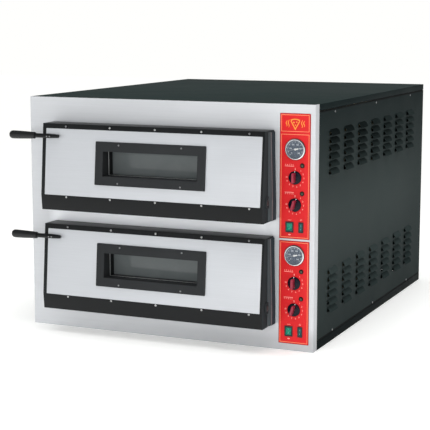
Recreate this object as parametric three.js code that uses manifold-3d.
// Countertop twin-deck electric pizza oven, built as an assembly.
// Millimetres, +Z up. X runs to the right as the cook faces the oven, Y runs
// from the front (-Y) to the back (+Y). The origin is the centre of the base's
// underside. The two decks are the same unit, one DECK_PITCH above the other,
// so everything that repeats is built once in the lower deck's coordinates.
import * as THREE from 'three';
import { mergeVertices } from 'three/addons/utils/BufferGeometryUtils.js';
import Module from 'manifold-3d';

const wasm = await Module();
wasm.setup();

// ---------------------------------------------------------------- dimensions
const BODY_W = 980, BODY_D = 1210, BODY_H = 750;     // casing, without doors and handles
const SHEET = 2;                                     // casing sheet
const GAP = 0.3;                                     // between touching pieces
const X1 = BODY_W / 2, Y1 = BODY_D / 2, FRONT = -Y1; // FRONT: outer face of the front panel
const RETURN = 30;                                   // front panel's wrap round the sides
const TOP_FLANGE = 20, BASE_FLANGE = 25;
const DECK_PITCH = 321;

// chamber, lower deck coordinates
const CH_X0 = -348, CH_X1 = 312, CH_DEPTH = 990;     // 660 x 990 clear
const MOUTH_Z0 = 155, MOUTH_Z1 = 295;                // 140 clear over the baking stone
const CH_FLOOR = 115, CH_WALL = 2.5;
const STONE_T = 18;

// door leaf, depths d are measured forwards from the front panel's face
const LEAF_X0 = -399.5, LEAF_X1 = 359, LEAF_Z0 = 77, LEAF_Z1 = 351;
const LEAF_TOP_D = 71, PLATE_BOTTOM_D = 91, PLATE_BOTTOM_Z = 126, SILL_D = 87;
const LEAF_BACK_D = 2, HEEL_D = 31;
const TILT = Math.atan((PLATE_BOTTOM_D - LEAF_TOP_D) / (LEAF_Z1 - PLATE_BOTTOM_Z));
const PIVOT_D = 60, PIVOT_Z = 138, HINGE_R = 6;
const SKIN = 2.5;                                    // door sheet
const PLUG = { x0: -356, x1: 320, z0: 147, z1: 305, d: -9.5 };
const WIN = { x0: -178, x1: 144.5, z0: 193.5, z1: 270.8 }; // clear opening of the window
const FRAME = { x0: -205, x1: 171.5, z0: 165.4, z1: 300.6, t: 4 };
const HANDLE_Z = 312;

// surround that carries the door
const SUR_D = -10, CHEEK_D = 52, FLARE_D = 31, FLARE = [0.8, 6.5], LUG_T = 2;
const OPEN = { x0: -402.5, x1: 362, z0: 82.5, z1: 345 }; // opening in the front panel

// controls, lower deck coordinates
const CTRL_X = 427, GAUGE_Z = 295, LAMP_X = 449.5, LAMP_Z = [247, 163], KNOB_Z = [210, 128];
const SWITCH_Z = 60.5, MAIN_SW_X = 410.5, LIGHT_SW_X = 447;
const CTRL_PLATE = { x0: 377.5, x1: 474.5, d0: 0.3, d1: 1.5 };
const LOWER_PLATE_Z = [21.5, 339.5], UPPER_PLATE_Z = [345.5, 723];

// settings at rest: thermometer needle, anticlockwise from +X, knob pointers from
// upright, rocker tilt and the depth of the rockers' pins
const NEEDLE_ANGLE = 3.327, KNOB_ANGLE = [0, 0.28];
const ROCKER_REST = -0.14, ROCKER_D = 2;

// louvres in the side panels
const LOUVRE = { length: 75, height: 17, out: 10, pitchY: 143, pitchZ: 24, y0: -443,
                 rowsZ: [657.6, 227], cols: 7, rows: 6 };

// ------------------------------------------------------------------ helpers
// closed triangle mesh -> solid, and back
function solid(geometry) {
  let g = geometry.clone();
  g.deleteAttribute('normal');
  g.deleteAttribute('uv');
  g = mergeVertices(g, 1e-4);
  const idx = g.index.array, keep = [];
  for (let i = 0; i < idx.length; i += 3) {
    const a = idx[i], b = idx[i + 1], c = idx[i + 2];
    if (a !== b && b !== c && a !== c) keep.push(a, b, c);
  }
  return new wasm.Manifold(new wasm.Mesh({
    numProp: 3, vertProperties: new Float32Array(g.attributes.position.array), triVerts: new Uint32Array(keep),
  }));
}
function geometryOf(s) {
  const m = s.getMesh();
  const g = new THREE.BufferGeometry();
  g.setAttribute('position', new THREE.BufferAttribute(new Float32Array(m.vertProperties), 3));
  g.setIndex(new THREE.BufferAttribute(new Uint32Array(m.triVerts), 1));
  g.computeVertexNormals();
  return g;
}
// box between two corners
function box(x0, x1, y0, y1, z0, z1) {
  const g = new THREE.BoxGeometry(x1 - x0, y1 - y0, z1 - z0);
  g.translate((x0 + x1) / 2, (y0 + y1) / 2, (z0 + z1) / 2);
  return solid(g);
}
// box given by depths in front of the front panel's face
const dbox = (x0, x1, d0, d1, z0, z1) => box(x0, x1, FRONT - d1, FRONT - d0, z0, z1);
// outline in (x, z) pushed along Y, from depth d0 to depth d1 in front of the panel
function plateXZ(points, d0, d1) {
  const sh = new THREE.Shape(points.map((p) => new THREE.Vector2(p[0], p[1])));
  const g = new THREE.ExtrudeGeometry(sh, { depth: d1 - d0, bevelEnabled: false });
  g.rotateX(Math.PI / 2);             // shape (x, y) -> (x, z), extrusion -> -Y
  g.translate(0, FRONT - d0, 0);
  return solid(g);
}
// outline in (depth, z) pushed along X
function profileDZ(points, x0, x1) {
  const sh = new THREE.Shape(points.map((p) => new THREE.Vector2(p[0], p[1])));
  const g = new THREE.ExtrudeGeometry(sh, { depth: x1 - x0, bevelEnabled: false });
  // (depth, z, push) -> (x = x0 + push, y = FRONT - depth, z)
  const m = new THREE.Matrix4().set(0, 0, 1, x0, -1, 0, 0, FRONT, 0, 1, 0, 0, 0, 0, 0, 1);
  g.applyMatrix4(m);
  if (m.determinant() < 0) flip(g);
  return solid(g);
}
function flip(g) {
  const p = g.attributes.position, v = new THREE.Vector3(), w = new THREE.Vector3();
  for (let i = 0; i < p.count; i += 3) {
    v.fromBufferAttribute(p, i + 1); w.fromBufferAttribute(p, i + 2);
    p.setXYZ(i + 1, w.x, w.y, w.z); p.setXYZ(i + 2, v.x, v.y, v.z);
  }
}
// turned piece: profile is [radius, height] pairs that start and end on the axis
// or close on themselves; its axis is then laid along 'x', or '-y' (height = depth)
function turned(profile, segments, axis, x, y, z) {
  const g = new THREE.LatheGeometry(profile.map((p) => new THREE.Vector2(p[0], p[1])), segments);
  if (axis === 'x') g.rotateZ(-Math.PI / 2);
  if (axis === '-y') g.rotateX(Math.PI);
  if (axis === 'z') g.rotateX(Math.PI / 2);
  g.translate(x, y, z);
  let s = solid(g);
  if (s.volume() < 0) { const t = g.toNonIndexed(); flip(t); s = solid(t); }
  return s;
}
function rod(axis, r, from, to, a, b, segments = 20) {
  const L = to - from, g = new THREE.CylinderGeometry(r, r, L, segments);
  if (axis === 'x') { g.rotateZ(-Math.PI / 2); g.translate((from + to) / 2, a, b); }
  if (axis === 'y') g.translate(a, (from + to) / 2, b);
  return solid(g);
}
const rect = (x0, x1, z0, z1) => [[x0, z0], [x1, z0], [x1, z1], [x0, z1]];
const circle = (x, z, r, n = 16) => Array.from({ length: n }, (_, i) => {
  const a = -2 * Math.PI * (i + 0.5) / n;
  return [x + r * Math.cos(a), z + r * Math.sin(a)];
});
// holes for one deck's controls, through the front panel and the red plate
function controlHoles(dz) {
  return [plateXZ(circle(CTRL_X, GAUGE_Z + dz, 29.5, 20), -10, 10),
    ...LAMP_Z.map((z) => plateXZ(circle(LAMP_X, z + dz, 5.6, 10), -10, 10)),
    ...KNOB_Z.map((z) => plateXZ(circle(CTRL_X, z + dz, 6.6, 12), -10, 10)),
    dbox(MAIN_SW_X - 10.9, MAIN_SW_X + 10.9, -10, 10, SWITCH_Z - 13.4 + dz, SWITCH_Z + 13.4 + dz),
    dbox(LIGHT_SW_X - 5.9, LIGHT_SW_X + 5.9, -10, 10, SWITCH_Z - 13.4 + dz, SWITCH_Z + 13.4 + dz)];
}
function join(list) { return list.reduce((a, b) => a.add(b)); }

const COLOURS = {
  stainless: [0xc9c9ca, 0.32, 0.95], casing: [0x39403f, 0.55, 0.2], black: [0x17181a, 0.38, 0.2],
  red: [0xe2332b, 0.42, 0.0], chamber: [0xa9aba8, 0.45, 0.9], stone: [0xc9b793, 0.9, 0.0],
  element: [0x4c4a48, 0.5, 0.8], wool: [0xb7ab86, 0.98, 0.0], chrome: [0xd8dadc, 0.12, 1.0],
  dial: [0x8795a3, 0.4, 0.1], glass: [0x8f9a97, 0.08, 0.0], lens: [0x1f3a30, 0.2, 0.0],
  white: [0xf2f2f0, 0.4, 0.0], plastic: [0x121315, 0.35, 0.0], green: [0x11a06c, 0.3, 0.0],
  teal: [0x3c8c86, 0.3, 0.0], steel: [0x8d9092, 0.35, 0.9], bakelite: [0x141416, 0.5, 0.0],
};
function material(key) {
  const [color, roughness, metalness] = COLOURS[key];
  const m = new THREE.MeshStandardMaterial({ color, roughness, metalness });
  if (key === 'glass') { m.transparent = true; m.opacity = 0.45; }
  return m;
}
const group = new THREE.Group();
function add(parent, name, s, key) {
  const mesh = new THREE.Mesh(geometryOf(s), material(key));
  mesh.name = name;
  parent.add(mesh);
  return mesh;
}

// ------------------------------------------------------------------- casing
{
  // base tray: flat bottom with an upstand on both sides and at the back
  const ySide = FRONT + RETURN + GAP;
  let tray = box(-X1, X1, ySide, Y1, 0, BASE_FLANGE)
    .subtract(box(-X1 + SHEET, X1 - SHEET, ySide - 5, Y1 - SHEET, SHEET, BASE_FLANGE + 5));
  tray = tray.add(box(-X1 + SHEET + 0.5, X1 - SHEET - 0.5, FRONT + SHEET + GAP, ySide + 1, 0, SHEET));
  add(group, 'base_tray', tray, 'casing');

  // top cover: lid with a flange down both sides and the back
  let lid = box(-X1, X1, ySide, Y1, BODY_H - TOP_FLANGE, BODY_H)
    .subtract(box(-X1 + SHEET, X1 - SHEET, ySide - 5, Y1 - SHEET, BODY_H - TOP_FLANGE - 5, BODY_H - SHEET));
  lid = lid.add(box(-X1 + SHEET + 0.5, X1 - SHEET - 0.5, FRONT + SHEET + GAP, ySide + 1, BODY_H - SHEET, BODY_H));
  add(group, 'top_cover', lid, 'casing');

  // rear panel with the cable entry's hole
  const z0 = BASE_FLANGE + 1, z1 = BODY_H - TOP_FLANGE - 1;
  const rear = box(-X1, X1, Y1 - SHEET, Y1, z0, z1).subtract(rod('y', 10.5, Y1 - 20, Y1 + 20, 400, 90, 16));
  add(group, 'rear_panel', rear, 'casing');

  // side panels with pressed louvres: each hood is flush at its top edge and
  // stands out at its lower edge
  const { length, height, out, pitchY, pitchZ, y0, rowsZ, cols, rows } = LOUVRE;
  const yBack = Y1 - SHEET - GAP;
  const side = (s) => {
    const parts = [];
    for (const zTop of rowsZ) for (let c = 0; c < cols; c++) for (let r = 0; r < rows; r++) {
      const yc = y0 + pitchY * c, zc = zTop - pitchZ * r;
      const sh = new THREE.Shape([[-1, height / 2], [-1, -height / 2], [out, -height / 2], [out, -height / 2 + 2]]
        .map((p) => new THREE.Vector2(p[0], p[1])));
      const g = new THREE.ExtrudeGeometry(sh, { depth: length, bevelEnabled: false });
      g.rotateX(Math.PI / 2);                         // (x, z) outline pushed along -Y
      g.translate(X1, yc + length / 2, zc);
      parts.push(solid(g));
    }
    const slab = box(X1 - SHEET, X1, ySide, yBack, z0, z1);
    let p = slab.add(join(parts));
    if (s < 0) p = p.mirror([1, 0, 0]);
    return p;
  };
  add(group, 'right_side_panel', side(1), 'casing');
  add(group, 'left_side_panel', side(-1), 'casing');
}

// front panel: stainless sheet that wraps round both sides, cut out for the two
// doors and for the controls
{
  let p = box(-X1, X1, FRONT, FRONT + RETURN, 0, BODY_H)
    .subtract(box(-X1 + SHEET, X1 - SHEET, FRONT + SHEET, FRONT + RETURN + 5, -5, BODY_H + 5));
  for (const dz of [0, DECK_PITCH]) {
    p = p.subtract(dbox(OPEN.x0, OPEN.x1, -10, 10, OPEN.z0 + dz, OPEN.z1 + dz));
    for (const c of controlHoles(dz)) p = p.subtract(c);
  }
  add(group, 'front_panel', p, 'stainless');
}

// mineral-wool block round both chambers, with two pockets open to the front and
// holes at the back for the elements' ends
{
  let w = box(-470, 345, FRONT + 15, 470, 30, 722);
  for (const dz of [0, DECK_PITCH]) {
    w = w.subtract(box(CH_X0 - CH_WALL - 1, CH_X1 + CH_WALL + 1, FRONT, FRONT + 12 + CH_DEPTH + 2 * CH_WALL + 1,
      CH_FLOOR - CH_WALL - 1 + dz, MOUTH_Z1 + CH_WALL + 1 + dz));
    for (const x of [-300, 264]) for (const z of [119.6, 288]) {
      w = w.subtract(rod('y', 12, 380, 480, x, z + dz, 8));
    }
  }
  add(group, 'insulation_block', w, 'wool');
}

// cable entry at the back
{
  const g = turned([[0, -14], [9.5, -14], [9.5, 2.3], [15, 2.3], [15, 9], [11.5, 11], [11.5, 17], [7, 19], [4, 19], [4, 6], [0, 6]],
    12, 'y', 400, Y1 - SHEET, 90);
  add(group, 'cable_gland', g, 'plastic');
}

// ---------------------------------------------------------------- one deck
// a serpentine of round rod: straight runs along Y joined by half-circle bends
class Serpentine extends THREE.Curve {
  constructor(points) { super(); this.p = points; }
  getPoint(t, target = new THREE.Vector3()) {
    const n = this.p.length - 1, u = Math.min(Math.max(t, 0), 1) * n, i = Math.min(Math.floor(u + 1e-9), n - 1);
    return target.copy(this.p[i]).lerp(this.p[i + 1], u - i);
  }
  getPointAt(u, target) { return this.getPoint(u, target); }
  getTangentAt(u, target = new THREE.Vector3()) {
    const n = this.p.length - 1, i = Math.round(u * n);
    const a = this.p[Math.max(i - 1, 0)], b = this.p[Math.min(i + 1, n)], c = this.p[i];
    const t1 = c.clone().sub(a).normalize(), t2 = b.clone().sub(c).normalize();
    return target.copy(t1).add(t2).normalize();
  }
}
function element(zc) {
  const runs = 6, x0 = -300, x1 = 264, pitch = (x1 - x0) / (runs - 1), r = pitch / 2;
  const pts = [new THREE.Vector3(x0, 440, zc)];
  for (let i = 0; i < runs; i++) {
    const x = x0 + pitch * i, toFront = i % 2 === 0, yEnd = toFront ? -500 : 330;
    pts.push(new THREE.Vector3(x, i === runs - 1 ? 440 : yEnd, zc));
    if (i < runs - 1) {
      for (let k = 1; k <= 6; k++) {
        const a = Math.PI * k / 6;
        pts.push(new THREE.Vector3(x + r - r * Math.cos(a), yEnd + (toFront ? -1 : 1) * r * Math.sin(a), zc));
      }
    }
  }
  const sec = new THREE.Shape(circle(0, 0, 4, 6).reverse().map((p) => new THREE.Vector2(p[0], p[1])));
  return solid(new THREE.ExtrudeGeometry(sec, { steps: pts.length - 1, extrudePath: new Serpentine(pts), bevelEnabled: false }));
}

// a piece laid on the door's sloping front: s runs up the slope from the plate's
// lower edge, q is its height off the leaf's face
function onSlope(s) {
  const g = geometryOf(s);
  g.rotateX(-TILT);
  g.translate(0, FRONT - PLATE_BOTTOM_D, PLATE_BOTTOM_Z);
  return solid(g);
}
const sbox = (x0, x1, q0, q1, s0, s1) => box(x0, x1, -q1, -q0, s0, s1);

function deck(name, dz, plateZ) {
  const g = new THREE.Group();
  g.position.z = dz;
  group.add(g);
  const n = (s) => name + '_' + s;

  // chamber: box open at the front, with two ledges that carry the stone and
  // four holes at the back for the elements' ends
  const cy0 = FRONT + 12 + GAP, cy1 = cy0 + CH_DEPTH;
  let ch = box(CH_X0 - CH_WALL, CH_X1 + CH_WALL, cy0, cy1 + CH_WALL, CH_FLOOR - CH_WALL, MOUTH_Z1 + CH_WALL)
    .subtract(box(CH_X0, CH_X1, cy0 - 5, cy1, CH_FLOOR, MOUTH_Z1));
  const ledgeTop = MOUTH_Z0 - STONE_T - GAP;
  ch = ch.add(box(CH_X0 - 1, CH_X0 + 12, cy0 + 6, cy1 + 1, CH_FLOOR - 1, ledgeTop));
  ch = ch.add(box(CH_X1 - 12, CH_X1 + 1, cy0 + 6, cy1 + 1, CH_FLOOR - 1, ledgeTop));
  for (const x of [-300, 264]) for (const z of [119.6, 288]) ch = ch.subtract(rod('y', 5.5, cy1 - 10, cy1 + 10, x, z, 8));
  add(g, n('chamber'), ch, 'chamber');
  add(g, n('baking_stone'), box(CH_X0 + 2, CH_X1 - 2, cy0 + 4, cy1 - 4, MOUTH_Z0 - STONE_T, MOUTH_Z0), 'stone');
  add(g, n('floor_element'), element(119.6), 'element');
  add(g, n('ceiling_element'), element(288), 'element');

  // door surround: sleeve through the front panel, back plate round the chamber's
  // mouth, and two cheeks that stand forward and carry the hinge rod. The cheeks
  // thicken downwards to the pivot.
  const sx0 = LEAF_X0 - 1, sx1 = LEAF_X1 + 1, t = 1.5;
  let sur = dbox(sx0 - t, sx1 + t, SUR_D - 2, 0.5, OPEN.z0 + 0.5, OPEN.z1 - 0.5)
    .subtract(dbox(sx0, sx1, SUR_D, 5, OPEN.z0 + 2, OPEN.z1 - 2))
    .subtract(dbox(CH_X0, CH_X1, SUR_D - 5, 5, MOUTH_Z0, MOUTH_Z1));
  // They are flush with the leaf at their front edges and flare out to FLARE
  // millimetres at their backs, little at the top and more from the pivot down.
  const cheek = (x, s) => {
    const ring = (z, w) => [[0, 0.3], [w, 0.3], [w, FLARE_D], [0.5, CHEEK_D], [0, CHEEK_D]]
      .map(([a, d]) => [x + s * a, FRONT - d, z]);
    const upper = wasm.Manifold.hull([...ring(347, FLARE[0]), ...ring(134, FLARE[1])]);
    return upper.add(wasm.Manifold.hull([...ring(134, FLARE[1]), ...ring(80, FLARE[1])]));
  };
  sur = sur.add(cheek(sx1, 1)).add(cheek(sx0, -1));
  // pivot lugs: thin ears that reach forward to the hinge rod
  const ear = (x0, x1) => profileDZ([[20, 120], [64, 120], [72, 127], [72, 149], [64, 156], [20, 156]], x0, x1);
  sur = sur.add(ear(sx1, sx1 + LUG_T)).add(ear(sx0 - LUG_T, sx0));
  sur = sur.subtract(rod('x', HINGE_R + 0.35, sx0 - 20, sx1 + 20, FRONT - PIVOT_D, PIVOT_Z, 16));
  add(g, n('door_surround'), sur, 'black');

  // hinge rod, with a head at the right and a collar at the left
  const hy = FRONT - PIVOT_D;
  const hx0 = sx0 - LUG_T - GAP, hx1 = sx1 + LUG_T + GAP;
  add(g, n('hinge_rod'), turned([[0, hx0 - 2], [8.5, hx0 - 2], [8.5, hx0], [HINGE_R, hx0], [HINGE_R, hx1], [8.5, hx1], [8.5, hx1 + 1.2], [7.5, hx1 + 2], [0, hx1 + 2]],
    16, 'x', 0, hy, PIVOT_Z), 'steel');

  // door leaf: folded sheet box with a plug that closes the chamber's mouth, a
  // window tunnel right through, and vent slots in the underside
  const outer = profileDZ([[LEAF_BACK_D, LEAF_Z1], [LEAF_BACK_D, 147], [HEEL_D, 143], [HEEL_D, LEAF_Z0],
    [SILL_D, LEAF_Z0], [PLATE_BOTTOM_D, PLATE_BOTTOM_Z], [LEAF_TOP_D, LEAF_Z1]], LEAF_X0, LEAF_X1);
  const inner = profileDZ([[LEAF_BACK_D + SKIN, LEAF_Z1 - SKIN], [LEAF_BACK_D + SKIN, 149.6], [HEEL_D + SKIN, 145.6],
    [HEEL_D + SKIN, LEAF_Z0 + SKIN], [SILL_D - SKIN - 0.3, LEAF_Z0 + SKIN], [PLATE_BOTTOM_D - SKIN, PLATE_BOTTOM_Z + 0.2],
    [LEAF_TOP_D - SKIN - 0.2, LEAF_Z1 - SKIN]], LEAF_X0 + SKIN, LEAF_X1 - SKIN);
  const plug = dbox(PLUG.x0, PLUG.x1, PLUG.d, LEAF_BACK_D + 1, PLUG.z0, PLUG.z1);
  const plugIn = dbox(PLUG.x0 + SKIN, PLUG.x1 - SKIN, PLUG.d + SKIN, LEAF_BACK_D + SKIN + 1, PLUG.z0 + SKIN + 0.2, PLUG.z1 - SKIN);
  const clear = 2.3;                                  // frame collar's wall and its gap
  const tun = { x0: WIN.x0 - clear, x1: WIN.x1 + clear, z0: WIN.z0 - clear, z1: WIN.z1 + clear };
  const tunnelOut = dbox(tun.x0 - SKIN, tun.x1 + SKIN, -20, 100, tun.z0 - SKIN, tun.z1 + SKIN);
  let leaf = outer.add(plug).subtract(inner.add(plugIn).subtract(tunnelOut));
  leaf = leaf.subtract(dbox(tun.x0, tun.x1, 14, 100, tun.z0, tun.z1));
  leaf = leaf.subtract(dbox(tun.x0 + 7, tun.x1 - 7, -20, 20, tun.z0 + 7, tun.z1 - 7));
  leaf = leaf.subtract(rod('x', HINGE_R + 0.6, LEAF_X0 - 5, LEAF_X1 + 5, hy, PIVOT_Z, 16));
  for (const x of [-260, 164]) leaf = leaf.subtract(dbox(x, x + 60, 56, 62, LEAF_Z0 - 5, LEAF_Z0 + 5));
  add(g, n('door_shell'), leaf, 'black');

  // stainless front plate on the slope, cut out for the window frame's collar
  add(g, n('door_front_plate'), onSlope(sbox(-385.5, 351, 0.3, 1.8, 0.5, 210.2)
    .subtract(sbox(WIN.x0 - 4.5, WIN.x1 + 4.5, -5, 10, 61.5, 153))), 'stainless');
  // window frame: flat flange over the plate, with a collar into the tunnel
  const s0 = (FRAME.z0 - PLATE_BOTTOM_Z) / Math.cos(TILT), s1 = (FRAME.z1 - PLATE_BOTTOM_Z) / Math.cos(TILT);
  const winHole = dbox(WIN.x0, WIN.x1, 0, 120, WIN.z0, WIN.z1);
  let frame = onSlope(sbox(FRAME.x0, FRAME.x1, 2.1, 2.1 + FRAME.t, s0, s1));
  const collar = dbox(WIN.x0 - 2, WIN.x1 + 2, 48, 88, WIN.z0 - 2, WIN.z1 + 2)
    .subtract(onSlope(sbox(-600, 600, 3.5, 60, -60, 300)));
  frame = frame.add(collar).subtract(winHole);
  add(g, n('window_frame'), frame, 'black');
  add(g, n('window_glass'), dbox(WIN.x0 - 1.8, WIN.x1 + 1.8, 14.3, 19.3, WIN.z0 - 1.8, WIN.z1 + 1.8), 'glass');

  // handle: turned rod fixed across the top of the front plate, standing out past
  // the left side, with a moulded grip on its end
  const faceD = PLATE_BOTTOM_D - (HANDLE_Z - PLATE_BOTTOM_Z) * Math.tan(TILT) + 1.9;
  const hr = 7, hd = faceD + hr + 0.5;
  add(g, n('handle_rod'), turned([[0, -503], [4.5, -503], [4.5, -421], [hr, -421], [hr, -372], [5.6, -339], [4.6, -335.5], [0, -335.5]],
    14, 'x', 0, FRONT - hd, HANDLE_Z), 'black');
  add(g, n('handle_grip'), turned([[0, -514], [7.5, -513], [11.8, -509], [13.5, -503], [13.4, -492], [12, -450], [10.8, -424], [9.6, -421.4],
    [4.9, -421.4], [4.9, -503.4], [0, -503.4]], 14, 'x', 0, FRONT - hd, HANDLE_Z), 'bakelite');

  // red control plate
  const [z0, z1] = plateZ.map((z) => z - dz);
  let plate = dbox(CTRL_PLATE.x0, CTRL_PLATE.x1, CTRL_PLATE.d0, CTRL_PLATE.d1, z0, z1);
  for (const c of controlHoles(0)) plate = plate.subtract(c);
  add(g, n('control_plate'), plate, 'red');

  // thermometer: case with bezel, needle on the dial, and a glass in the bezel
  const on = FRONT;
  add(g, n('gauge_case'), turned([[0, -28], [29, -28], [29, 1.8], [32.5, 1.8], [32.5, 5], [30.4, 8], [27.6, 8], [26.8, 3], [0, 3]],
    20, '-y', CTRL_X, on, GAUGE_Z), 'chrome');
  add(g, n('gauge_glass'), turned([[0, 5.7], [26.8, 5.7], [26.8, 6.7], [0, 6.7]], 20, '-y', CTRL_X, on, GAUGE_Z), 'glass');
  const needle = plateXZ([[-10, -1.9], [-2, -2.2], [2, -1], [23.5, -0.4], [23.5, 0.4], [2, 1], [-2, 2.2], [-10, 1.9]], 3.7, 4.3)
    .add(turned([[0, 3.3], [3, 3.3], [3, 5.2], [0, 5.2]], 10, '-y', 0, on, 0));
  const ng = geometryOf(needle);
  ng.translate(0, Y1, 0); ng.rotateY(-NEEDLE_ANGLE); ng.translate(CTRL_X, -Y1, GAUGE_Z);
  add(g, n('gauge_needle'), solid(ng), 'white');

  // indicator lamps
  LAMP_Z.forEach((z, i) => add(g, n(['upper_indicator', 'lower_indicator'][i]),
    turned([[0, -16], [5, -16], [5, 1.8], [7.2, 1.8], [7.2, 2.8], [5.4, 3.4], [4.2, 5.2], [2, 6.2], [0, 6.5]], 10, '-y', LAMP_X, on, z), 'lens'));

  // thermostats behind the panel, and their knobs with the shafts they turn
  KNOB_Z.forEach((z, i) => {
    const which = ['top_heat', 'floor_heat'][i];
    let th = dbox(CTRL_X - 20, CTRL_X + 20, -34, -2.4, z - 20, z + 20);
    th = th.add(turned([[0, -5], [5.8, -5], [5.8, 1.2], [0, 1.2]], 12, '-y', CTRL_X, on, z));
    th = th.subtract(turned([[0, -14], [3.6, -14], [3.6, 4], [0, 4]], 10, '-y', CTRL_X, on, z));
    add(g, n(which + '_thermostat'), th, 'steel');
    let kn = turned([[0, -13.5], [3, -13.5], [3, 2.3], [20.3, 2.3], [20.3, 4.4], [19, 5.8], [12, 7], [10.5, 8.5], [0, 8.5]], 18, '-y', CTRL_X, on, z);
    const a = KNOB_ANGLE[i];
    const fin = plateXZ([[-4, -12.5], [-2.6, -14.5], [2.6, -14.5], [4, -12.5], [3.4, 13.5], [1.2, 16], [-1.2, 16], [-3.4, 13.5]], 5.5, 27);
    const fg = geometryOf(fin);
    fg.translate(0, Y1, 0); fg.rotateY(a); fg.translate(CTRL_X, -Y1, z);
    kn = kn.add(solid(fg));
    add(g, n(which + '_knob'), kn, 'bakelite');
  });

  // rocker switches: housings through the plate, rockers on a pin across them
  const rocker = (label, x, w, key) => {
    let h = dbox(x - w / 2 - 2.4, x + w / 2 + 2.4, 1.8, 4, SWITCH_Z - 16.4, SWITCH_Z + 16.4)
      .add(dbox(x - w / 2, x + w / 2, -17, 2.5, SWITCH_Z - 13, SWITCH_Z + 13));
    h = h.subtract(dbox(x - w / 2 + 1.6, x + w / 2 - 1.6, -9, 10, SWITCH_Z - 11.6, SWITCH_Z + 11.6));
    add(g, n(label + '_switch_housing'), h, 'plastic');
    const pr = [[-5, -3.2], [-1.5, -10.4], [5.6, -10.7], [4.4, 0], [5.6, 10.7], [-1.5, 10.4], [-5, 3.2]];
    const rg = geometryOf(profileDZ(pr, x - w / 2 + 2, x + w / 2 - 2));
    rg.translate(0, Y1 + ROCKER_D, 0); rg.rotateX(ROCKER_REST); rg.translate(0, -Y1 - ROCKER_D, SWITCH_Z);
    add(g, n(label + '_rocker'), solid(rg), key);
  };
  rocker('main', MAIN_SW_X, 21, 'green');
  rocker('light', LIGHT_SW_X, 11, 'teal');
}

group.name = 'pizza_oven';
deck('lower', 0, LOWER_PLATE_Z);
deck('upper', DECK_PITCH, UPPER_PLATE_Z);

export default group;
